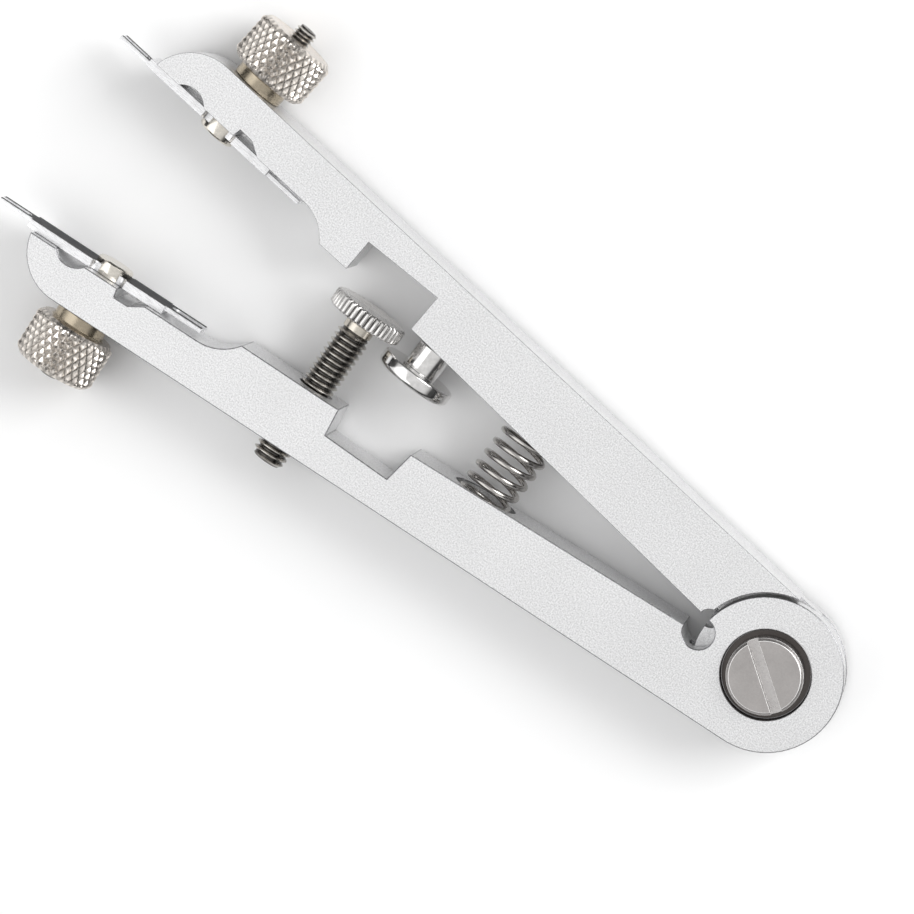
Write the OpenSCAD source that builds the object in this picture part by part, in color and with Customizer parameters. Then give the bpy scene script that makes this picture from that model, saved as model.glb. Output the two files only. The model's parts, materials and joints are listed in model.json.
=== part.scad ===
// Spring-bar pliers: two aluminium arms on a fork hinge, held open by a coil spring, with a thumb screw that
// sets how far they open and a reversible forked blade clamped in each nose.
// The tool lies flat: +Z is the pivot axis, +X runs between the arms towards the noses, and z = 0 is the
// plane of the arms' rear faces. Each arm is drawn in its own flat frame: u runs from the pivot axis along
// the arm, and v is the height above the arm's inner face, towards the other arm.

/* [Arms] */
// Thickness of both arms along the pivot axis
arm_t = 8; // [7.6:0.1:9]
// Angle between the two inner faces at rest
open_angle = 12.6; // [12:0.1:13]
// Radius of the round hinge cheeks
knuckle_r = 8.6; // [8.2:0.1:9]
// Height of the arm at the start of the nose
nose_h = 6.5; // [6.2:0.1:6.8]
// Distance from the pivot axis to the centre of the nose's round end
nose_u = 88.4; // [88:0.1:89]
// Radius of the nose's round end
nose_r = 6; // [5.8:0.1:6.2]

/* [Hinge] */
// Thickness of each fork cheek
cheek_t = 2.7; // [2.5:0.1:2.8]
// Gap between a cheek and the tongue, along the pivot axis
tongue_gap = 0.1; // [0.05:0.01:0.15]
// Gap between the cheeks' rim and the shoulders around it
shoulder_gap = 0.45; // [0.3:0.05:0.6]
// Diameter of the pivot screw's shank
pivot_d = 5; // [4.5:0.1:5.5]
// Diameter of the pivot screw's head
pivot_head_d = 8.5; // [8:0.1:9]
// How far the pivot screw's head stands out of the front face
pivot_head_proud = 1.8; // [1:0.1:2.2]
// Diameter of the sleeve that the tongue turns on
sleeve_d = 7; // [6.6:0.1:7.4]
// Diameter of the counterbores in both cheeks
counterbore_d = 10; // [9.8:0.1:10.4]
// Depth of the counterbores
counterbore_h = 1.2; // [1:0.1:1.4]

/* [Blade seats] */
// Where the flat floor of the blade seat begins
seat_u = 72.2; // [71.8:0.1:72.3]
// Depth of the seat's floor at its start, below the line of the inner face
seat_depth = 1.8; // [1.7:0.05:1.9]
// Radius of the fillet at the seat's start
seat_fillet = 5.5; // [5:0.1:6]
// How far the inner face rises from the notches to the seat
inner_rise = 0.5; // [0.3:0.05:0.6]
// Distance from the pivot axis to the clamp bolt
clamp_u = 85; // [84.8:0.1:85.2]

/* [Fork blades] */
// Width of a blade
blade_w = 5; // [4.6:0.1:5.2]
// Thickness of a blade
blade_t = 1; // [0.8:0.05:1.05]
// Reach of the blade's body from the clamp bolt towards the tip
blade_body_front = 10.5; // [10.2:0.1:10.8]
// Reach of the blade's body from the clamp bolt towards the pivot
blade_body_rear = 7.4; // [7.2:0.1:7.8]
// Reach of the narrow fork from the clamp bolt
fork_front = 14.8; // [14.4:0.1:14.9]
// Reach of the wide fork from the clamp bolt
fork_rear = 12.1; // [11.8:0.1:12.4]
// Slot between the narrow fork's tines
fork_front_slot = 1.2; // [1:0.1:1.4]
// Slot between the wide fork's tines
fork_rear_slot = 1.6; // [1.5:0.1:1.8]
// Thickness of the tines
tine_t = 0.5; // [0.4:0.05:0.6]

/* [Clamp bolts and nuts] */
// Diameter of the clamp bolt's stud
stud_d = 2.5; // [2.4:0.1:2.6]
// Width of the blade's waist, which the clamp bolt's head straddles
waist_w = 3.6; // [3.4:0.05:3.7]
// Diameter of the clamp bolt's head
bolt_head_d = 4.4; // [4.3:0.1:4.6]
// Height of the clamp bolt's head above the blade
bolt_head_h = 0.7; // [0.6:0.05:0.8]
// Diameter of the thumb nut
nut_d = 9.6; // [9.2:0.1:9.8]
// Height of the thumb nut's gripped part
nut_h = 5.6; // [5:0.1:6]
// Diameter of the thumb nut's neck
nut_neck_d = 6.2; // [5.8:0.1:6.6]
// Height of the thumb nut's neck
nut_neck_h = 1.5; // [1:0.1:1.8]
// How far the upper bolt's stud stands out of its nut
upper_stud_out = 1.6; // [1.4:0.1:1.8]
// How far the lower bolt's stud stands out of its nut
lower_stud_out = 0.7; // [0.6:0.1:0.9]

/* [Thumb screw] */
// Distance from the pivot axis to the thumb screw, at the lower arm's inner face
screw_u = 58.7; // [58.6:0.1:58.8]
// Lean of the thumb screw towards the pivot
screw_lean = 4.2; // [4:0.1:4.4]
// Diameter of the thumb screw's thread
screw_d = 4; // [3.8:0.1:4.1]
// Height of the wheel's underside above the lower arm's inner face
wheel_rise = 9.1; // [9:0.05:9.2]
// Diameter of the wheel
wheel_d = 9; // [8.8:0.1:9.1]
// Thickness of the wheel
wheel_t = 1.9; // [1.7:0.1:2]
// Number of ribs around the wheel
wheel_ribs = 40; // [30:1:48]
// Length of the smooth neck under the wheel
screw_neck_h = 1.3; // [1:0.1:1.6]
// How far the thumb screw stands out of the lower arm's outer face
screw_out = 2.4; // [2:0.1:3]

/* [Catch] */
// Distance from the pivot axis to the catch's post, at the upper arm's inner face
catch_u = 50.75; // [50.6:0.05:50.9]
// Lean of the catch's post towards the pivot
catch_lean = 6.3; // [6:0.1:6.6]
// Diameter of the catch's post
post_d = 4.1; // [3.9:0.1:4.3]
// Height of the catch disc's arm side above the inner face
catch_rise = 3.2; // [3.15:0.05:3.3]
// Diameter of the catch disc
catch_d = 9; // [8.9:0.05:9.1]
// Thickness of the catch disc
catch_t = 1.7; // [1.5:0.1:1.8]

/* [Return spring] */
// Distance from the pivot axis to the return spring
spring_u = 36.5; // [36:0.1:37]
// Outer diameter of the spring
spring_d = 6.5; // [6.2:0.1:6.6]
// Diameter of the spring's wire
wire_d = 0.7; // [0.6:0.05:0.8]
// Diameter of the spring's seats
spring_seat_d = 7.5; // [7.4:0.1:7.8]
// Depth of the spring's seats
spring_seat_h = 2; // [1.8:0.1:2.2]

/* [Hidden] */
$fn = 64;

half_open = open_angle / 2;
mid_z = arm_t / 2;
// A cut runs this far past the face that it opens
past = 0.5;
// Radial clearance of a shaft or a thread in its hole
fit = 0.05;
// Gap between two bodies that rest against each other
rest_gap = 0.05;

// The outer face and the blade seat rise together towards the nose
taper = (knuckle_r - nose_h) / nose_u;
taper_angle = atan(taper);
function outer_v(u) = taper * u - knuckle_r;
function seat_v(u) = taper * (u - seat_u) - seat_depth;

shoulder_r = knuckle_r + shoulder_gap;
tongue_r = knuckle_r - 0.1;
tongue_t = arm_t - 2 * (cheek_t + tongue_gap);
// The tongue's own stretch of the arm reaches this far past the shoulders
tongue_root = shoulder_r + 3;

sleeve_head_d = counterbore_d - 0.6;
sleeve_head_h = counterbore_h - 0.1;
pivot_shank_end = 2;
pivot_slot_w = 1.2;
pivot_slot_angle = -34;

// Where the inner face begins to rise
rise_u = 56;

relief_u = 8.6;
relief_r = 1.8;
upper_relief_r = 1.2;

nut_chamfer = 0.6;
// Along the clamp's axis, from the arm's outer face: the seat, the blade's top and the nut's outer end
clamp_seat_h = (seat_v(clamp_u) - outer_v(clamp_u)) * cos(taper_angle);
clamp_head_h = clamp_seat_h + 2 * rest_gap + blade_t;
nut_end_h = -rest_gap - nut_neck_h - nut_h;

spring_gap = 2 * spring_u * sin(half_open);
spring_l = spring_gap + 2 * spring_seat_h - 0.5;
spring_closed_turns = 1;
spring_open_turns = 6;
// Steps in one turn of the spring, and sides of its wire
spring_steps = 16;
wire_sides = 8;

// Turns a drawing in (u, v) into place as the lower arm's frame
module lower_frame() {
    rotate([0, 0, half_open]) mirror([0, 1, 0]) children();
}

// Turns a drawing in (u, v) into place as the upper arm's frame
module upper_frame() {
    rotate([0, 0, -half_open]) children();
}

// Stands a turned piece on an arm at (u, v): its +Z points inwards, leaning towards the pivot
module standing(u, v, lean = 0) {
    translate([u, v, mid_z]) rotate([0, 0, lean]) rotate([-90, 0, 0]) children();
}

// Stands a piece on the clamp's axis, h above the arm's outer face
module on_clamp(h) {
    standing(clamp_u, outer_v(clamp_u), taper_angle) translate([0, 0, h]) children();
}

// A cylinder with a chamfer at each end
module chamfered_disc(d, h, low, high) {
    rotate_extrude()
        polygon([[0, 0], [d / 2 - low, 0], [d / 2, low], [d / 2, h - high], [d / 2 - high, h], [0, h]]);
}

// Side view of an arm without its hinge: taper, round nose and blade seat
module arm_side() {
    difference() {
        union() {
            polygon([
                [0, 0], [0, -knuckle_r], [nose_u, -nose_h], [nose_u, inner_rise],
                [seat_u, inner_rise], [rise_u, 0]
            ]);
            translate([nose_u, nose_r - nose_h]) circle(r = nose_r);
        }
        seat_side();
    }
}

// Side view of the blade seat: filleted floor with two relief grooves either side of the clamp
module seat_side() {
    seat_end = nose_u + nose_r + 1;
    groove_u = clamp_u + 4.1;
    groove_r = 2.45;
    groove_depth = 0.9;
    polygon([
        [seat_u, seat_v(seat_u)], [seat_end, seat_v(seat_end)],
        [seat_end, nose_r], [seat_u, nose_r]
    ]);
    translate([seat_u, seat_v(seat_u) + seat_fillet]) circle(r = seat_fillet);
    translate([groove_u, seat_v(groove_u) + groove_r - groove_depth]) circle(r = groove_r);
    polygon([
        [clamp_u - 1.9, 0], [clamp_u - 2.3, seat_v(clamp_u) - 1.1],
        [clamp_u - 4.1, seat_v(clamp_u) - 1.1], [clamp_u - 6, seat_v(clamp_u)], [clamp_u - 6, 0]
    ]);
}

// Holes that both arms share: the clamp bolt's hole and the spring's seat
module shared_holes() {
    on_clamp(-past) cylinder(d = stud_d + 2 * fit, h = knuckle_r);
    standing(spring_u, -spring_seat_h) cylinder(d = spring_seat_d, h = spring_seat_h + past);
}

// Arm with the two fork cheeks, the threaded hole of the thumb screw and a notch under the catch
module lower_arm() {
    color("gainsboro") lower_frame() difference() {
        union() {
            linear_extrude(arm_t) arm_side();
            cylinder(r = knuckle_r, h = arm_t);
        }
        translate([0, 0, cheek_t]) cylinder(r = shoulder_r, h = arm_t - 2 * cheek_t);
        translate([relief_u, 0, -past]) cylinder(r = relief_r, h = arm_t + 2 * past);
        translate([0, 0, -past]) cylinder(d = sleeve_d + 2 * fit, h = mid_z + past);
        translate([0, 0, -past]) cylinder(d = counterbore_d, h = counterbore_h + past);
        translate([0, 0, mid_z]) cylinder(d = pivot_d + 2 * fit, h = arm_t);
        translate([0, 0, arm_t - counterbore_h]) cylinder(d = counterbore_d, h = counterbore_h + past);
        translate([0, 0, -past]) linear_extrude(arm_t + 2 * past)
            polygon([[45.5, past], [46.5, -3.7], [54.8, -3.2], [55, past]]);
        standing(screw_u, 0, screw_lean) translate([0, 0, -12]) cylinder(d = screw_d + 2 * fit, h = 14);
        shared_holes();
    }
}

// Arm with the hinge tongue, and a notch that takes the wheel when the arms are squeezed
module upper_arm() {
    color("gainsboro") upper_frame() difference() {
        union() {
            difference() {
                linear_extrude(arm_t) arm_side();
                translate([0, 0, -past]) cylinder(r = shoulder_r, h = arm_t + 2 * past);
            }
            translate([0, 0, cheek_t + tongue_gap]) linear_extrude(tongue_t) tongue_side();
        }
        translate([relief_u, 0, -past]) cylinder(r = upper_relief_r, h = arm_t + 2 * past);
        translate([0, 0, -past]) cylinder(d = sleeve_d + 2 * fit, h = arm_t + 2 * past);
        translate([0, 0, -past]) linear_extrude(arm_t + 2 * past)
            polygon([[54.05, past], [54.35, -4.5], [64, -3.6], [63.75, past]]);
        standing(catch_u, 0, catch_lean) translate([0, 0, -3.6]) cylinder(d = 3.04, h = 6);
        shared_holes();
    }
}

// Side view of the tongue: a round end and the stretch that joins it to the arm
module tongue_side() {
    circle(r = tongue_r);
    intersection() {
        arm_side();
        translate([0, -knuckle_r]) square([tongue_root, knuckle_r]);
    }
}

// Slotted cheese-head screw that closes the hinge from the front
module pivot_screw() {
    head_base = arm_t - counterbore_h + rest_gap;
    head_h = arm_t + pivot_head_proud - head_base;
    color("lightslategray") difference() {
        union() {
            translate([0, 0, head_base]) chamfered_disc(pivot_head_d, head_h, 0.1, 0.3);
            translate([0, 0, pivot_shank_end]) chamfered_disc(pivot_d, head_base + past - pivot_shank_end, 0.5, 0);
        }
        translate([0, 0, arm_t + pivot_head_proud]) rotate([0, 0, pivot_slot_angle])
            cube([pivot_head_d + 1, pivot_slot_w, 2.4], center = true);
    }
}

// Sleeve nut from the rear: the tongue turns on its barrel, and the pivot screw threads into it
module pivot_sleeve() {
    barrel_end = arm_t - cheek_t - rest_gap;
    color("lightslategray") difference() {
        union() {
            chamfered_disc(sleeve_head_d, sleeve_head_h, 0.2, 0.1);
            cylinder(d = sleeve_d, h = barrel_end);
        }
        translate([0, 0, pivot_shank_end - 0.4]) cylinder(d = pivot_d + 0.04, h = arm_t);
        for (side = [-1, 1])
            translate([side * 3, 0, -past]) cylinder(d = 1.2, h = past + 0.7);
    }
}

// Height along the spring's axis after some turns: closed turns, open turns, closed turns
function spring_height(turn) =
    let (closed_pitch = wire_d * 1.06,
        open_pitch = (spring_l - wire_d - 2 * spring_closed_turns * closed_pitch) / spring_open_turns,
        low = min(turn, spring_closed_turns),
        middle = min(max(turn - spring_closed_turns, 0), spring_open_turns),
        high = max(turn - spring_closed_turns - spring_open_turns, 0))
    (low + high) * closed_pitch + middle * open_pitch;

// Compression spring between the arms, its ends sitting in the two blind seats
module return_spring() {
    coil_r = (spring_d - wire_d) / 2;
    turns = 2 * spring_closed_turns + spring_open_turns;
    rings = turns * spring_steps;
    points = [
        for (i = [0:rings], j = [0:wire_sides - 1])
            let (along = 360 * i / spring_steps, around = 360 * j / wire_sides,
                r = coil_r + wire_d / 2 * cos(around))
            [r * cos(along), r * sin(along), spring_height(i / spring_steps) + wire_d / 2 * sin(around)]
    ];
    sides = [
        for (i = [0:rings - 1], j = [0:wire_sides - 1])
            let (next = (j + 1) % wire_sides)
            [i * wire_sides + j, i * wire_sides + next, (i + 1) * wire_sides + next, (i + 1) * wire_sides + j]
    ];
    caps = [
        [for (j = [wire_sides - 1:-1:0]) j],
        [for (j = [0:wire_sides - 1]) rings * wire_sides + j]
    ];
    color("silver") translate([spring_u * cos(half_open), -(spring_l - wire_d) / 2, mid_z])
        rotate([-90, 0, 0]) polyhedron(points, concat(sides, caps));
}

// Threaded shank of the thumb screw, with a smooth neck and a spigot for the wheel
module adjusting_screw() {
    low = outer_v(screw_u) / cos(screw_lean) - screw_out;
    thread_l = wheel_rise - screw_neck_h - low;
    color("silver") lower_frame() standing(screw_u, 0, screw_lean) union() {
        translate([0, 0, low]) chamfered_disc(screw_d, thread_l, 0.6, 0.3);
        translate([0, 0, wheel_rise - screw_neck_h - 0.1])
            cylinder(d = screw_d - 0.6, h = screw_neck_h + 0.1 - rest_gap);
        translate([0, 0, wheel_rise - 0.2]) cylinder(d = 2.5, h = 1.3);
    }
}

// Ribbed wheel on the end of the thumb screw
module thumb_wheel() {
    rib_r = 0.22;
    color("silver") lower_frame() standing(screw_u, 0, screw_lean) translate([0, 0, wheel_rise]) difference() {
        chamfered_disc(wheel_d, wheel_t, 0.25, 0.25);
        for (i = [0:wheel_ribs - 1])
            rotate([0, 0, 360 * i / wheel_ribs]) translate([wheel_d / 2 + 0.05, 0, -past])
                cylinder(r = rib_r, h = wheel_t + 2 * past, $fn = 16);
        translate([0, 0, -past]) cylinder(d = 2.6, h = past + 1.2);
    }
}

// Polished disc on a post: its rim catches the wheel and stops the arms opening further
module catch_button() {
    edge_r = 0.6;
    color("silver") upper_frame() standing(catch_u, 0, catch_lean) union() {
        translate([0, 0, -3.4]) cylinder(d = 3, h = 4);
        translate([0, 0, 0.3]) cylinder(d = post_d, h = catch_rise);
        translate([0, 0, catch_rise]) rotate_extrude() {
            square([catch_d / 2 - edge_r, catch_t]);
            translate([0, 0.15]) square([catch_d / 2, catch_t - edge_r - 0.15]);
            translate([catch_d / 2 - edge_r, catch_t - edge_r]) circle(r = edge_r);
            polygon([[0, 0], [catch_d / 2 - 0.15, 0], [catch_d / 2, 0.15], [0, 0.15]]);
        }
    }
}

// Flat view of a blade: x runs from the clamp bolt to the narrow fork, and y across the blade
module blade_flat() {
    bite_r = (blade_w - waist_w) / 2;
    bite_half = bolt_head_d / 2 - bite_r;
    difference() {
        union() {
            translate([-blade_body_rear, -blade_w / 2]) square([blade_body_front + blade_body_rear, blade_w]);
            translate([0, -1.6]) square([fork_front, 3.2]);
            translate([-fork_rear, -2]) square([fork_rear, 4]);
        }
        for (side = [-1, 1]) {
            translate([-bite_half, side * blade_w / 2 - bite_r]) square([2 * bite_half, 2 * bite_r]);
            for (end = [-1, 1])
                translate([end * bite_half, side * blade_w / 2]) circle(r = bite_r);
        }
        circle(d = stud_d + 2 * fit);
        translate([fork_front - 3.2, 0]) circle(d = fork_front_slot);
        translate([fork_front - 3.2, -fork_front_slot / 2]) square([4, fork_front_slot]);
        translate([-fork_rear + 3.4, 0]) circle(d = fork_rear_slot);
        translate([-fork_rear - 1, -fork_rear_slot / 2]) square([4.4, fork_rear_slot]);
    }
}

// Double-ended forked blade lying on the seat; the tines are ground thin from below
module fork_blade() {
    rise = blade_t - tine_t;
    on_clamp(clamp_seat_h + rest_gap) difference() {
        linear_extrude(blade_t) blade_flat();
        translate([blade_body_front, -blade_w, -past]) cube([5, 2 * blade_w, rise + past]);
        translate([-blade_body_rear - 5, -blade_w, -past]) cube([5, 2 * blade_w, rise + past]);
    }
}

// Round-headed bolt through the blade and the arm: the channel under its head straddles the blade's waist
module clamp_bolt(out) {
    stud_end = nut_end_h - out;
    channel_w = waist_w + 2 * rest_gap;
    head_base = clamp_seat_h + rest_gap;
    head_h = clamp_head_h + bolt_head_h - head_base;
    union() {
        on_clamp(stud_end) chamfered_disc(stud_d, clamp_head_h - stud_end + 0.2, 0.35, 0);
        on_clamp(head_base) difference() {
            chamfered_disc(bolt_head_d, head_h, 0.05, 0.2);
            translate([-bolt_head_d, -channel_w / 2, -past])
                cube([2 * bolt_head_d, channel_w, blade_t + rest_gap + past]);
        }
    }
}

// Thumb nut with a smooth neck against the arm's outer face
module clamp_nut() {
    on_clamp(nut_end_h) difference() {
        union() {
            chamfered_disc(nut_d, nut_h, nut_chamfer, nut_chamfer);
            cylinder(d = nut_neck_d, h = nut_h + nut_neck_h);
        }
        translate([0, 0, -past]) cylinder(d = stud_d + 2 * fit, h = nut_h + nut_neck_h + 2 * past);
    }
}

module lower_fork_blade() {
    color("dimgray") lower_frame() fork_blade();
}

module upper_fork_blade() {
    color("dimgray") upper_frame() fork_blade();
}

module lower_clamp_bolt() {
    color("silver") lower_frame() clamp_bolt(lower_stud_out);
}

module upper_clamp_bolt() {
    color("silver") upper_frame() clamp_bolt(upper_stud_out);
}

module lower_clamp_nut() {
    color("tan") lower_frame() clamp_nut();
}

module upper_clamp_nut() {
    color("tan") upper_frame() clamp_nut();
}

lower_arm();
upper_arm();
pivot_screw();
pivot_sleeve();
return_spring();
adjusting_screw();
thumb_wheel();
catch_button();
lower_fork_blade();
upper_fork_blade();
lower_clamp_bolt();
upper_clamp_bolt();
lower_clamp_nut();
upper_clamp_nut();
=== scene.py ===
import json
import math

import bmesh
import bpy
from mathutils import Matrix, Vector


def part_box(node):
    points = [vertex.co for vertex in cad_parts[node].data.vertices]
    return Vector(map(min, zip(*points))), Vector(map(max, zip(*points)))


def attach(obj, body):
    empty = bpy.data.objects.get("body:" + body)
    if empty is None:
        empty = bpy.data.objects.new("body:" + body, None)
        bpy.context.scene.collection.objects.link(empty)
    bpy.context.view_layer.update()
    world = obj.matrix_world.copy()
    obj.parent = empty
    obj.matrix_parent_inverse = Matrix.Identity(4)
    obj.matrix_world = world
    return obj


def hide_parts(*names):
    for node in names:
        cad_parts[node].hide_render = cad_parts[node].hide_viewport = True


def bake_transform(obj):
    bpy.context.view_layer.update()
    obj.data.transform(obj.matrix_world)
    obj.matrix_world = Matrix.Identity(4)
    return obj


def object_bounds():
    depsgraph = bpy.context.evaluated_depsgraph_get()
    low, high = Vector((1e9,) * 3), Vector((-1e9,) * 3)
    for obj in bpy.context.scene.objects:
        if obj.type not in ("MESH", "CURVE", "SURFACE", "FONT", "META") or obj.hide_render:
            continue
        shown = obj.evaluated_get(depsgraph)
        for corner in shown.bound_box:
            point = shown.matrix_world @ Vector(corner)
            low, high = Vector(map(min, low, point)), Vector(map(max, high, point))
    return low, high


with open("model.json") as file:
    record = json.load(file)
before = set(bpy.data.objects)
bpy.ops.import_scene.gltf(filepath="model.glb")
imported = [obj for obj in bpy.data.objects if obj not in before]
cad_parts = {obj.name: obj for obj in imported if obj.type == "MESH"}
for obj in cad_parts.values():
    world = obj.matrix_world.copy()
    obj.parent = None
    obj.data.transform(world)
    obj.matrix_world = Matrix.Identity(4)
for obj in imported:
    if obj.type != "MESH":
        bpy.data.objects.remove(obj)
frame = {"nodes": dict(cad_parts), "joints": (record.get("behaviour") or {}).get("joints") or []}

cad_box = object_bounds()

# The object's lengths below are in millimetres, and MM turns them into the scene's metres.
MM = 0.001
MID_Z = 4
UP = Vector((0, 0, 1))
JOINTS = {joint["name"]: joint for joint in frame["joints"]}
NODES = frame["nodes"]


# ---------------------------------------------------------------- places

def stand(point, axis):
    """Millimetres to metres, with local Z along axis from point and local X towards the noses."""
    z = Vector(axis).normalized()
    x = UP.cross(z)
    if x.x < 0:
        x = -x
    y = z.cross(x)
    turn = Matrix((x, y, z)).transposed().to_4x4()
    return Matrix.Translation(Vector(point)) @ turn @ Matrix.Scale(MM, 4)


def joint_place(name):
    joint = JOINTS[name]
    return stand(joint["pos_m"], joint["axis"])


def height_range(node, place):
    """Lowest and highest point of a CAD node along a place's own Z, in millimetres."""
    inverse = place.inverted()
    heights = [(inverse @ v.co).z for v in NODES[node].data.vertices]
    return min(heights), max(heights)


# ---------------------------------------------------------------- materials

class Shader:
    """A Principled material whose inputs are filled in from object-space textures."""

    def __init__(self, name, color, metallic, roughness):
        self.material = bpy.data.materials.new(name)
        self.material.use_nodes = True
        self.tree = self.material.node_tree
        self.bsdf = self.tree.nodes["Principled BSDF"]
        self.bsdf.inputs["Base Color"].default_value = (*color, 1)
        self.bsdf.inputs["Metallic"].default_value = metallic
        self.bsdf.inputs["Roughness"].default_value = roughness
        self.color = color
        self.where = self.add("ShaderNodeTexCoord").outputs["Object"]

    def add(self, kind, **values):
        node = self.tree.nodes.new(kind)
        for key, value in values.items():
            setattr(node, key, value)
        return node

    def link(self, a, b):
        self.tree.links.new(a, b)

    def stretched(self, scale, turn=(0, 0, 0)):
        mapping = self.add("ShaderNodeMapping")
        mapping.inputs["Scale"].default_value = scale
        mapping.inputs["Rotation"].default_value = turn
        self.link(self.where, mapping.inputs["Vector"])
        return mapping.outputs["Vector"]

    def noise(self, size_mm, detail=2, where=None):
        node = self.add("ShaderNodeTexNoise")
        node.inputs["Scale"].default_value = 1 / (size_mm * MM)
        node.inputs["Detail"].default_value = detail
        self.link(where or self.where, node.inputs["Vector"])
        return node.outputs["Fac"]

    def ramp(self, value, low, high):
        node = self.add("ShaderNodeMapRange")
        node.inputs["From Min"].default_value = 0.3
        node.inputs["From Max"].default_value = 0.7
        node.inputs["To Min"].default_value = low
        node.inputs["To Max"].default_value = high
        self.link(value, node.inputs["Value"])
        return node.outputs["Result"]

    def shade(self, factor):
        """Multiplies the colour by a factor between dark and light."""
        node = self.add("ShaderNodeVectorMath", operation="SCALE")
        node.inputs[0].default_value = self.color
        self.link(factor, node.inputs["Scale"])
        self.link(node.outputs["Vector"], self.bsdf.inputs["Base Color"])

    def times(self, a, b):
        node = self.add("ShaderNodeMath", operation="MULTIPLY")
        self.link(a, node.inputs[0])
        self.link(b, node.inputs[1])
        return node.outputs["Value"]

    def roughen(self, value):
        self.link(value, self.bsdf.inputs["Roughness"])

    def bump(self, height, strength, depth_mm):
        node = self.add("ShaderNodeBump")
        node.inputs["Strength"].default_value = strength
        node.inputs["Distance"].default_value = depth_mm * MM
        self.link(height, node.inputs["Height"])
        previous = self.bsdf.inputs["Normal"].links
        if previous:
            self.link(previous[0].from_socket, node.inputs["Normal"])
        self.link(node.outputs["Normal"], self.bsdf.inputs["Normal"])

    def groove_painted_shade(self, dark):
        """Painted shade: light on the crests and dark in the grooves, from the depth that the mesh code
        stores.
        """
        depth = self.add("ShaderNodeAttribute", attribute_name="depth")
        node = self.add("ShaderNodeMapRange")
        node.inputs["From Min"].default_value = 0.25
        node.inputs["From Max"].default_value = 1
        node.inputs["To Min"].default_value = 1
        node.inputs["To Max"].default_value = dark
        self.link(depth.outputs["Fac"], node.inputs["Value"])
        return node.outputs["Result"]


def arm_aluminium():
    """Bead-blasted, clear-anodised aluminium: a fine sparkling grain over a faint cloud."""
    s = Shader("arm_aluminium", (0.76, 0.76, 0.765), 0.9, 0.42)
    grain = s.noise(0.16, 1)
    cloud = s.noise(9, 2)
    s.shade(s.times(s.ramp(grain, 0.80, 1.15), s.ramp(cloud, 0.98, 1.02)))
    s.roughen(s.ramp(grain, 0.36, 0.50))
    s.bump(grain, 0.6, 0.04)
    return s.material


def turned_steel(name, color, ring_mm, roughness):
    """Steel faced on a lathe, with rings about the pivot axis."""
    s = Shader(name, color, 1, roughness)
    rings = s.add("ShaderNodeTexWave", wave_type="RINGS", rings_direction="Z")
    rings.inputs["Scale"].default_value = 1 / (ring_mm * MM * 20)
    rings.inputs["Distortion"].default_value = 1.5
    s.link(s.where, rings.inputs["Vector"])
    fine = s.noise(0.15, 3)
    s.shade(s.times(s.ramp(fine, 0.94, 1.04), s.ramp(s.noise(3, 2), 0.93, 1.06)))
    s.roughen(s.ramp(fine, roughness - 0.05, roughness + 0.07))
    s.bump(rings.outputs["Fac"], 0.25, 0.012)
    return s.material


def plain_steel(name, color, roughness, streak=(1, 1, 1), size_mm=0.3, bump=0.1):
    """Machined steel with streaks along the direction that streak leaves unscaled."""
    s = Shader(name, color, 1, roughness)
    streaks = s.noise(size_mm, 4, s.stretched(streak))
    s.shade(s.times(s.ramp(streaks, 0.9, 1.06), s.ramp(s.noise(2.5, 2), 0.96, 1.03)))
    s.roughen(s.ramp(streaks, roughness - 0.06, roughness + 0.1))
    s.bump(streaks, bump, 0.01)
    return s.material


def painted_dark_blade_flats():
    """The blade's flats painted near black: a painted dark reflection."""
    s = Shader("blade_steel", (0.013, 0.013, 0.015), 0, 0.5)
    s.bsdf.inputs["Specular IOR Level"].default_value = 0.15
    streaks = s.noise(0.12, 4, s.stretched((0.2, 1, 1)))
    s.shade(s.ramp(streaks, 0.6, 1.5))
    s.roughen(s.ramp(streaks, 0.42, 0.6))
    s.bump(streaks, 0.1, 0.01)
    return s.material


def grooved_metal(name, color, roughness, dark):
    """Knurled or threaded metal, with painted shade darker down in its grooves."""
    s = Shader(name, color, 1, roughness)
    fine = s.noise(0.12, 3)
    # The grooves are painted darker with depth: painted shade.
    s.shade(s.times(s.ramp(fine, 0.92, 1.05), s.groove_painted_shade(dark)))
    s.roughen(s.ramp(fine, roughness - 0.05, roughness + 0.12))
    s.bump(fine, 0.15, 0.01)
    return s.material


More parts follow.
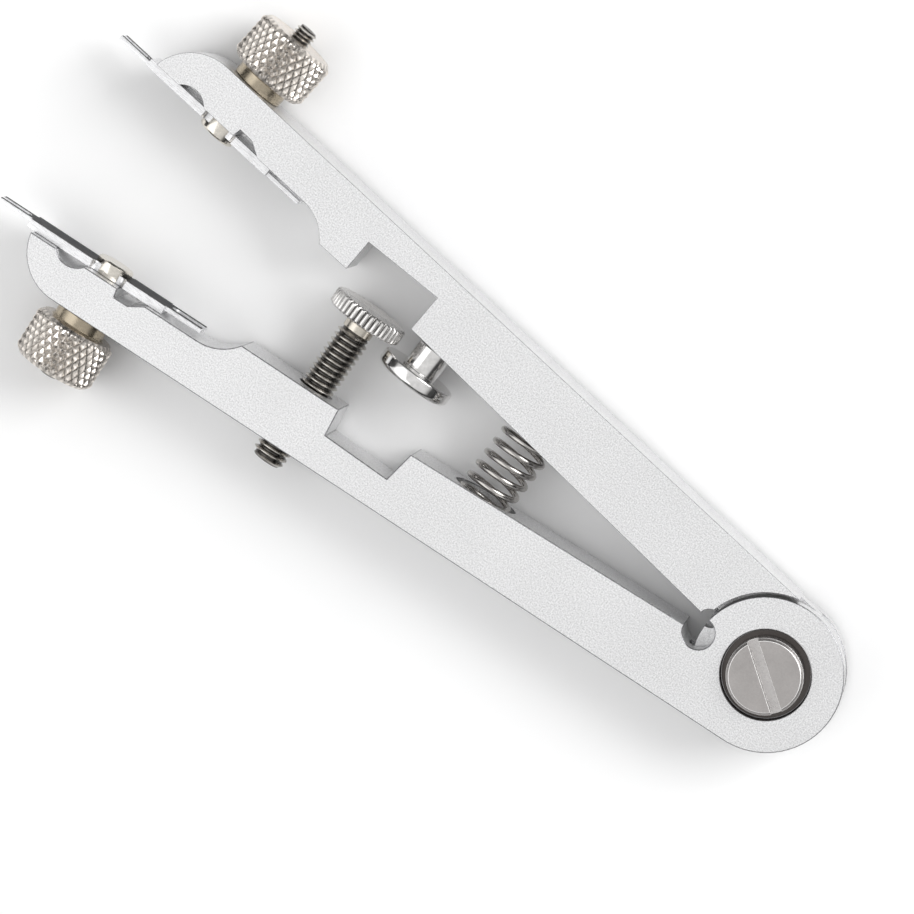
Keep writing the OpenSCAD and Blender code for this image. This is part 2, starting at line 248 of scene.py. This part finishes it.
MATERIALS = {
    "arm_aluminium": arm_aluminium(),
    # The arms' broken edges are painted dark: a painted shade line along every edge.
    "arm_edge_painted_shade": plain_steel("arm_edge_painted_shade", (0.34, 0.34, 0.35), 0.25, (1, 1, 1), 0.5, 0.04),
    # The hollows round the pivot are painted near black: painted shade in the counterbore.
    "arm_bore_painted_shade": plain_steel("arm_bore_painted_shade", (0.11, 0.10, 0.095), 0.35, (1, 1, 4), 0.3, 0.1),
    "pivot_steel": turned_steel("pivot_steel", (0.43, 0.41, 0.40), 0.12, 0.34),
    # The screw's slot is painted lighter than its head's face: painted light.
    "pivot_slot_painted_light": plain_steel("pivot_slot_painted_light", (0.60, 0.58, 0.57), 0.3, (1, 1, 1), 0.3, 0.1),
    # The pivot's broken edges are painted near white: a painted highlight on the rims.
    "pivot_edge_painted_highlight": plain_steel("pivot_edge_painted_highlight", (0.92, 0.91, 0.90), 0.5, (1, 1, 1), 0.3, 0.05),
    "spring_steel": plain_steel("spring_steel", (0.50, 0.48, 0.46), 0.13, (1, 1, 1), 0.4, 0.05),
    "screw_steel": grooved_metal("screw_steel", (0.59, 0.565, 0.53), 0.2, 0.15),
    "screw_neck": plain_steel("screw_neck", (0.64, 0.60, 0.53), 0.22),
    "wheel_steel": grooved_metal("wheel_steel", (0.80, 0.785, 0.77), 0.22, 0.12),
    "polished_steel": plain_steel("polished_steel", (0.80, 0.79, 0.78), 0.1, (1, 1, 1), 0.6, 0.03),
    "blade_steel": painted_dark_blade_flats(),
    # The blade's cut edges and underside are painted near white: painted light.
    "blade_edge_painted_highlight": plain_steel("blade_edge_painted_highlight", (0.88, 0.88, 0.89), 0.26, (0.2, 1, 1), 0.18, 0.08),
    "bolt_nickel": plain_steel("bolt_nickel", (0.78, 0.74, 0.67), 0.16, (1, 1, 1), 0.4, 0.05),
    "nut_nickel": grooved_metal("nut_nickel", (0.83, 0.775, 0.715), 0.26, 0.4),
    "nut_neck": plain_steel("nut_neck", (0.44, 0.38, 0.29), 0.24),
}


# ---------------------------------------------------------------- pieces

def piece(name, bm, body, slot, material=None, nodes=(), smooth=30):
    """Makes a finished object from a bmesh: it rides on a body and stands for CAD nodes."""
    bmesh.ops.recalc_face_normals(bm, faces=bm.faces)
    mesh = bpy.data.meshes.new(name)
    bm.to_mesh(mesh)
    bm.free()
    obj = bpy.data.objects.new(name, mesh)
    bpy.context.scene.collection.objects.link(obj)
    mesh.materials.append(MATERIALS[material or slot])
    if smooth:
        mesh.shade_smooth()
        mesh.set_sharp_from_angle(angle=math.radians(smooth))
    if body:
        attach(obj, body)
    if nodes:
        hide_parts(*nodes)
    return obj


def bevelled(node, name, width_mm, body, slot, change=None, paint=None, edge=None):
    """A copy of a CAD node's solid with its sharp edges broken.

    change edits the bmesh, paint picks a material from (material names, chooser of a face's index),
    and edge names the material of the broken edges.
    """
    bm = bmesh.new()
    bm.from_mesh(NODES[node].data)
    bmesh.ops.remove_doubles(bm, verts=bm.verts, dist=1e-7)
    bmesh.ops.dissolve_limit(bm, angle_limit=math.radians(1), verts=bm.verts, edges=bm.edges)
    if change:
        change(bm)
    obj = piece(name, bm, body, slot, nodes=(node,))
    if paint:
        names, chooser = paint
        for extra in names:
            obj.data.materials.append(MATERIALS[extra])
        for face in obj.data.polygons:
            face.material_index = chooser(face)
    if edge:
        obj.data.materials.append(MATERIALS[edge])
    bevel = obj.modifiers.new("edges", "BEVEL")
    bevel.width = width_mm * MM
    bevel.segments = 2
    bevel.limit_method = "ANGLE"
    bevel.angle_limit = math.radians(28)
    if edge:
        bevel.material = len(obj.data.materials) - 1
    normals = obj.modifiers.new("normals", "WEIGHTED_NORMAL")
    normals.keep_sharp = False
    apply_modifiers(obj)
    return obj


def apply_modifiers(obj):
    graph = bpy.context.evaluated_depsgraph_get()
    mesh = bpy.data.meshes.new_from_object(obj.evaluated_get(graph), depsgraph=graph)
    obj.modifiers.clear()
    old = obj.data
    obj.data = mesh
    mesh.name = old.name
    bpy.data.meshes.remove(old)


def make_rings(bm, rows, place):
    """Adds a vertex for each (x, y, z, depth) of each row, in millimetres, and stores its depth."""
    layer = bm.verts.layers.float.get("depth") or bm.verts.layers.float.new("depth")
    rings = []
    for row in rows:
        ring = []
        for x, y, z, depth in row:
            vert = bm.verts.new(place @ Vector((x, y, z)))
            vert[layer] = depth
            ring.append(vert)
        rings.append(ring)
    return rings


def grid(bm, rows, place):
    """Skins rows of points into a tube with closed ends."""
    rings = make_rings(bm, rows, place)
    count = len(rings[0])
    for low, high in zip(rings, rings[1:]):
        for j in range(count):
            k = (j + 1) % count
            bm.faces.new((low[j], low[k], high[k], high[j]))
    bm.faces.new(list(reversed(rings[0])))
    bm.faces.new(rings[-1])


def round_row(radius, z, steps, depth=0.0):
    return [
        (radius * math.cos(2 * math.pi * j / steps), radius * math.sin(2 * math.pi * j / steps), z, depth)
        for j in range(steps)
    ]


def lathe(bm, profile, place, steps=96):
    """Turns a profile of (radius, height) into a closed solid."""
    grid(bm, [round_row(r, z, steps) for r, z in profile], place)


def thread(bm, place, start, end, major_r, pitch, chamfer, steps=48):
    """A helical thread between two heights: rows follow the helix, so its crests stay crisp."""
    profile = ((0, 0), (0.12, 0), (0.45, 1), (0.62, 1))
    depth = 0.61 * pitch
    foot = major_r - depth - 0.02
    turns = math.ceil((end - start) / pitch) + 1
    rows = []
    for turn in range(-1, turns):
        for share, down in profile:
            row = []
            for j in range(steps):
                angle = 2 * math.pi * j / steps
                z = start + pitch * (turn + share + j / steps)
                z = min(max(z, start), end)
                rise = min(z - start, end - z) / chamfer * (major_r - foot)
                r = min(major_r - depth * down, foot + rise)
                row.append((r * math.cos(angle), r * math.sin(angle), z, (major_r - r) / depth))
            rows.append(row)
    helical_skin(bm, rows, place, len(profile), steps)


def helical_skin(bm, rows, place, per_turn, steps):
    """Joins rows that climb one turn per per_turn rows, so the last column meets the first one a turn up."""
    made = make_rings(bm, rows, place)
    new_verts = [v for ring in made for v in ring]
    for i in range(len(made) - 1):
        for j in range(steps):
            if j + 1 < steps:
                a, b, c, d = made[i][j], made[i][j + 1], made[i + 1][j + 1], made[i + 1][j]
            elif i + per_turn + 1 < len(made):
                a, b = made[i][j], made[i + per_turn][0]
                c, d = made[i + per_turn + 1][0], made[i + 1][j]
            else:
                continue
            bm.faces.new((a, b, c, d))
    bmesh.ops.remove_doubles(bm, verts=new_verts, dist=2e-6)
    bmesh.ops.dissolve_degenerate(bm, dist=1e-7, edges=bm.edges)
    open_edges = [e for e in bm.edges if len(e.link_faces) == 1]
    bmesh.ops.holes_fill(bm, edges=open_edges, sides=0)


# ---------------------------------------------------------------- arms and hinge

HOLLOW_R = 9.4
COUNTERBORE_R = 5.2
COUNTERBORE_FLOOR = (2.5, 3.8)


def is_painted_bore_shade(face):
    """1 for the hollows round the pivot axis, whose walls and counterbore floor are painted near black as
    painted shade, and 0 elsewhere.

    COUNTERBORE_FLOOR is how far its floor lies from the arms' middle plane, at least and at most.
    """
    outward = Vector((face.center.x, face.center.y, 0))
    wall = outward.length < HOLLOW_R * MM and face.normal.dot(outward.normalized()) < -0.8
    from_middle = abs(face.center.z / MM - MID_Z)
    level = COUNTERBORE_FLOOR[0] < from_middle < COUNTERBORE_FLOOR[1]
    floor = outward.length < COUNTERBORE_R * MM and abs(face.normal.z) > 0.9 and level
    return int(wall or floor)


def make_arms():
    for side in ("lower", "upper"):
        # The broken edges are painted dark as a painted shade line.
        bevelled(
            f"{side}_arm", f"{side}_arm_body", 0.17, f"{side}_arm", "arm_aluminium",
            # The bore faces are painted near black, as painted shade.
            paint=(("arm_bore_painted_shade",), is_painted_bore_shade), edge="arm_edge_painted_shade",
        )


def make_pivot():
    """A face is the slot's when it lies lower than the head's chamfered top."""
    top = height_range("pivot_screw", Matrix.Scale(MM, 4))[1]
    # The slot's faces are painted lighter than the head's face, as painted light.
    bevelled(
        "pivot_screw", "pivot_screw_head", 0.14, "lower_arm", "pivot_steel",
        paint=(("pivot_slot_painted_light",), lambda face: int(face.center.z < (top - 0.3) * MM)), edge="pivot_edge_painted_highlight",
    )
    # The broken edges of both pivot pieces are painted near white, a painted highlight.
    bevelled("pivot_sleeve", "pivot_sleeve_nut", 0.08, "lower_arm", "pivot_steel", edge="pivot_edge_painted_highlight")


# ---------------------------------------------------------------- return spring

WIRE_D = 0.7
SPRING_TURNS = 8
CLOSED_TURNS = 1


def spring_height(turn, length):
    """Height of the wire after some turns: closed turns, open turns, closed turns."""
    closed_pitch = WIRE_D * 1.06
    open_turns = SPRING_TURNS - 2 * CLOSED_TURNS
    open_pitch = (length - WIRE_D - 2 * CLOSED_TURNS * closed_pitch) / open_turns
    low = min(turn, CLOSED_TURNS)
    middle = min(max(turn - CLOSED_TURNS, 0), open_turns)
    high = max(turn - CLOSED_TURNS - open_turns, 0)
    return (low + high) * closed_pitch + middle * open_pitch


def make_spring():
    low, high = (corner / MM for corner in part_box("return_spring"))
    length = high.y - low.y
    coil_r = (high.x - low.x - WIRE_D) / 2
    place = stand((low + high) / 2 * MM, (0, 1, 0))
    steps, sides = 40, 14
    rows = []
    for i in range(SPRING_TURNS * steps + 1):
        along = 2 * math.pi * i / steps
        z = spring_height(i / steps, length) - (length - WIRE_D) / 2
        row = []
        for j in range(sides):
            around = 2 * math.pi * j / sides
            r = coil_r + WIRE_D / 2 * math.cos(around)
            row.append((r * math.cos(along), r * math.sin(along), z + WIRE_D / 2 * math.sin(around), 0))
        rows.append(row)
    bm = bmesh.new()
    grid(bm, rows, place)
    spring = piece("return_spring_wire", bm, None, "spring_steel", nodes=("return_spring",), smooth=50)
    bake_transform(spring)


# ---------------------------------------------------------------- thumb screw and catch

SCREW_R = 2.0
SCREW_PITCH = 0.7
NECK_R = 1.75
NECK_H = 1.35


def make_thumb_screw():
    place = joint_place("wheel_turn")
    low, high = height_range("adjusting_screw", place)
    wheel_low, wheel_high = height_range("thumb_wheel", place)
    thread_end = wheel_low - NECK_H
    bm = bmesh.new()
    thread(bm, place, low, thread_end, SCREW_R, SCREW_PITCH, 0.5)
    piece("adjusting_screw_thread", bm, "thumb_screw", "screw_steel", nodes=("adjusting_screw",), smooth=25)
    bm = bmesh.new()
    lathe(bm, [
        (1.2, thread_end - 0.3), (NECK_R - 0.25, thread_end - 0.05), (NECK_R, thread_end + 0.15),
        (NECK_R, wheel_low - 0.35), (NECK_R - 0.12, wheel_low - 0.2), (NECK_R + 0.2, wheel_low - 0.01),
        (1.0, wheel_low - 0.01),
    ], place, 64)
    piece("adjusting_screw_neck", bm, "thumb_screw", "screw_steel", "screw_neck")
    make_wheel(place, wheel_low, wheel_high)


def make_wheel(place, low, high):
    """The ribbed wheel: rounded ribs round the rim, fading out over the chamfers."""
    ribs, per_rib = 40, 8
    rim_r, face_r = 4.48, 4.12
    rib_depth, chamfer = 0.26, 0.22
    steps = ribs * per_rib
    profile = [
        (1.2, low, 0), (face_r - 0.5, low, 0), (face_r, low, 0), (face_r + 0.14, low + 0.05, 0.3),
        (rim_r, low + chamfer, 1), (rim_r, (low + high) / 2, 1), (rim_r, high - chamfer, 1),
        (face_r + 0.14, high - 0.05, 0.3), (face_r, high, 0), (face_r - 0.5, high, 0),
        (face_r - 0.62, high - 0.05, 0), (1.6, high - 0.05, 0), (1.5, high - 0.12, 0), (0.2, high - 0.12, 0),
    ]
    rows = []
    for radius, z, share in profile:
        row = []
        for j in range(steps):
            angle = 2 * math.pi * j / steps
            from_groove = min(j % per_rib, per_rib - j % per_rib) / (per_rib / 2)
            down = max(0, 1 - from_groove / 0.62) * share
            r = radius - rib_depth * down
            row.append((r * math.cos(angle), r * math.sin(angle), z, down))
        rows.append(row)
    bm = bmesh.new()
    grid(bm, rows, place)
    piece("thumb_wheel_ribbed", bm, "thumb_wheel", "wheel_steel", nodes=("thumb_wheel",), smooth=40)


def make_catch():
    bevelled("catch_button", "catch_button_turned", 0.08, "upper_arm", "polished_steel")


# ---------------------------------------------------------------- blades and clamps

STUD_R = 1.25
STUD_PITCH = 0.45
NUT_R = 4.8
NUT_H = 5.6
NUT_NECK_R = 3.1
KNURLS = 30
# Up to STUD_TOP, the bolt's smooth stud is drawn in to this share of its radius, inside its thread.
STUD_CORE = 0.7
STUD_TOP = 0.9
# A blade's tines lie further from its clamp bolt's centre than this.
TINES_FROM = 9.4


def knurl_row(z, low, high, steps, per_knurl):
    """One ring of a diamond knurl: two families of V grooves leave small pyramids."""
    lead = 1.6
    depth = 0.34
    chamfer = 0.6
    row = []
    for j in range(steps):
        angle = 2 * math.pi * j / steps
        along = j / per_knurl
        climb = (z - low) / lead
        one = abs(2 * ((along + climb) % 1) - 1)
        two = abs(2 * ((along - climb) % 1) - 1)
        down = 1 - min(one, two, 0.8) / 0.8
        edge = min(z - low, high - z)
        limit = NUT_R - chamfer + min(edge, chamfer)
        r = min(NUT_R - depth * down, limit)
        row.append((r * math.cos(angle), r * math.sin(angle), z, down))
    return row


def make_nut(side):
    place = joint_place(f"{side}_nut_turn")
    low, top = height_range(f"{side}_clamp_nut", place)
    high = low + NUT_H
    per_knurl = 8
    steps = KNURLS * per_knurl
    levels = 36
    rows = [
        round_row(STUD_R + 0.1, low + 0.3, steps), round_row(STUD_R + 0.35, low + 0.05, steps),
        round_row(NUT_R - 1.0, low + 0.05, steps), round_row(NUT_R - 0.85, low, steps),
    ]
    rows += [knurl_row(low + NUT_H * k / levels, low, high, steps, per_knurl) for k in range(levels + 1)]
    rows += [round_row(NUT_R - 0.85, high, steps), round_row(NUT_NECK_R - 0.2, high + 0.02, steps)]
    bm = bmesh.new()
    grid(bm, rows, place)
    piece(
        f"{side}_clamp_nut_knurled", bm, f"{side}_nut", "nut_nickel",
        nodes=(f"{side}_clamp_nut",), smooth=22,
    )
    bm = bmesh.new()
    lathe(bm, [
        (NUT_NECK_R - 1, high - 0.3), (NUT_NECK_R + 0.25, high - 0.02), (NUT_NECK_R, high + 0.22),
        (NUT_NECK_R, top - 0.12), (NUT_NECK_R - 0.12, top), (STUD_R + 0.3, top),
    ], place, 96)
    piece(f"{side}_clamp_nut_neck", bm, f"{side}_nut", "nut_nickel", "nut_neck")


def make_bolt(side):
    place = joint_place(f"{side}_blade_swivel")
    inverse = place.inverted()
    node = f"{side}_clamp_bolt"
    low = height_range(node, place)[0]

    def thin_stud(bm):
        """Draws the smooth stud in, so that the thread stands round it."""
        for vert in bm.verts:
            local = inverse @ vert.co
            if math.hypot(local.x, local.y) < STUD_R + 0.02 and local.z < STUD_TOP:
                local.x *= STUD_CORE
                local.y *= STUD_CORE
                vert.co = place @ local

    bevelled(node, f"{side}_clamp_bolt_head", 0.09, f"{side}_blade", "bolt_nickel", change=thin_stud)
    bm = bmesh.new()
    thread(bm, place, low, 0.0, STUD_R, STUD_PITCH, 0.3, 36)
    piece(f"{side}_clamp_bolt_thread", bm, f"{side}_blade", "bolt_nickel", "screw_steel", smooth=25)


def make_blade(side):
    """A dark top and dark tines, painted near black as a painted dark reflection, with its cut edges and
    underside painted bright as painted light.
    """
    joint = JOINTS[f"{side}_blade_swivel"]
    axis, centre = Vector(joint["axis"]), Vector(joint["pos_m"])

    # Every face but the top and the tines' underside is painted bright, as painted light.
    def is_bright(face):
        upwards = face.normal.dot(axis)
        on_tines = (face.center - centre).length > TINES_FROM * MM
        return int(not (upwards > 0.8 or (upwards < -0.8 and on_tines)))

    bevelled(
        f"{side}_fork_blade", f"{side}_fork_blade_ground", 0.05, f"{side}_blade", "blade_steel",
        paint=(("blade_edge_painted_highlight",), is_bright), edge="blade_edge_painted_highlight",
    )


# ---------------------------------------------------------------- stage, light and camera

# The studio's own lengths are in metres.
LIGHT_AIM = (0.05, 0, 0)
FLOOR_HALF = 3
FLOOR_GAP = 0.02 * MM


def make_stage():
    """A pale paper floor just under the lowest point of the tool."""
    bm = bmesh.new()
    bmesh.ops.create_grid(bm, x_segments=8, y_segments=8, size=FLOOR_HALF)
    mesh = bpy.data.meshes.new("floor")
    bm.to_mesh(mesh)
    bm.free()
    floor = bpy.data.objects.new("floor", mesh)
    floor.location = (0, 0, cad_box[0].z - FLOOR_GAP)
    bpy.context.scene.collection.objects.link(floor)
    s = Shader("floor_paper", (0.93, 0.93, 0.93), 0, 0.8)
    s.shade(s.ramp(s.noise(30, 2), 0.99, 1.01))
    mesh.materials.append(s.material)


def make_world():
    """A white studio with a darker band near the horizon, which the bright metal needs to read."""
    world = bpy.data.worlds.new("studio")
    bpy.context.scene.world = world
    world.use_nodes = True
    nodes, links = world.node_tree.nodes, world.node_tree.links
    where = nodes.new("ShaderNodeTexCoord").outputs["Generated"]
    split = nodes.new("ShaderNodeSeparateXYZ")
    links.new(where, split.inputs["Vector"])
    ramp = nodes.new("ShaderNodeValToRGB")
    ramp.color_ramp.elements[0].position = 0.0
    ramp.color_ramp.elements[0].color = (0.03, 0.03, 0.032, 1)
    ramp.color_ramp.elements[1].position = 0.9
    ramp.color_ramp.elements[1].color = (1, 1, 1, 1)
    for position, level in ((0.42, 0.10), (0.60, 0.85)):
        step = ramp.color_ramp.elements.new(position)
        step.color = (level, level, level, 1)
    links.new(split.outputs["Z"], ramp.inputs["Fac"])
    links.new(ramp.outputs["Color"], nodes["Background"].inputs["Color"])
    nodes["Background"].inputs["Strength"].default_value = 0.82


def make_light(name, position, aim, size, watts):
    light = bpy.data.lights.new(name, "AREA")
    light.shape = "SQUARE"
    light.size = size
    light.energy = watts
    obj = bpy.data.objects.new(name, light)
    obj.location = position
    obj.rotation_euler = (Vector(aim) - Vector(position)).to_track_quat("-Z", "Y").to_euler()
    bpy.context.scene.collection.objects.link(obj)


def make_tones():
    """Plain tones keep the floor as white as a studio's."""
    bpy.context.scene.view_settings.view_transform = "Standard"


def make_camera():
    """A long lens above the tool, with the noses towards the upper left of the picture."""
    eye = Vector((14.33, -76.4, 551.1)) * MM
    forward = Vector((0.0489, 0.1428, -0.9885)).normalized()
    up = Vector((0.6162, -0.7833, -0.0827))
    right = forward.cross(up).normalized()
    up = right.cross(forward)
    data = bpy.data.cameras.new("camera")
    data.sensor_width = 36
    data.lens = 36 * 5.49
    data.clip_start = 0.01
    camera = bpy.data.objects.new("camera", data)
    camera.matrix_world = Matrix.Translation(eye) @ Matrix((right, up, -forward)).transposed().to_4x4()
    bpy.context.scene.collection.objects.link(camera)
    bpy.context.scene.camera = camera


make_camera()
make_arms()
make_pivot()
make_spring()
make_thumb_screw()
make_catch()
for side in ("lower", "upper"):
    make_nut(side)
    make_bolt(side)
    make_blade(side)
make_stage()
make_world()
make_light("key", (-0.30, -0.50, 0.42), LIGHT_AIM, 0.45, 4)
make_light("fill", (0.50, 0.42, 0.55), LIGHT_AIM, 1.0, 2.8)
make_tones()
